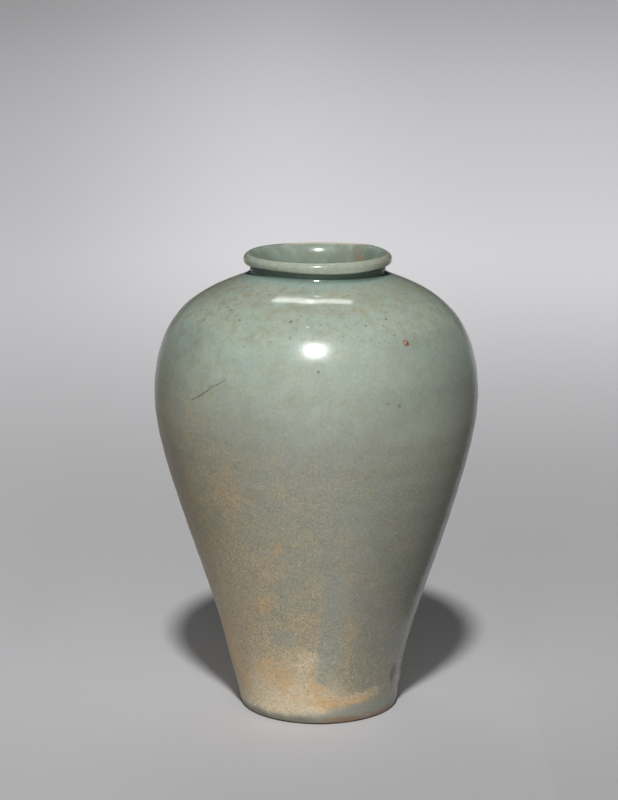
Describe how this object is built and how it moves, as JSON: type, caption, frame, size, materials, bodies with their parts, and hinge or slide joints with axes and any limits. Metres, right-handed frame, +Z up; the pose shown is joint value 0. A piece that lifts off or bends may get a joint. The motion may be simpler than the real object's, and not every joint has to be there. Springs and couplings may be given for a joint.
{
  "type": "miniature jar",
  "caption": "Small glazed stoneware jar with a narrow foot, a wall swelling to a high full shoulder, a short neck and a thick rolled lip; stands on its foot and holds stems or small things.",
  "frame": {"origin": "middle of the foot ring's standing face", "axes": "+Z up along the jar's axis, towards the mouth; X and Y lie in the standing face"},
  "size_m": [0.091, 0.091, 0.1304],
  "materials": {
    "bare_clay": "matte",
    "body_clay": "matte",
    "outer_celadon": "satin",
    "inner_celadon": "satin"
  },
  "bodies": {
    "root": {"foot_ring": "bare_clay", "base_disc": "body_clay", "lower_wall": "body_clay", "shoulder_wall": "body_clay", "neck_collar": "body_clay", "rolled_lip": "body_clay", "outer_glaze": "outer_celadon", "inner_glaze": "inner_celadon"}
  },
  "joints": []
}
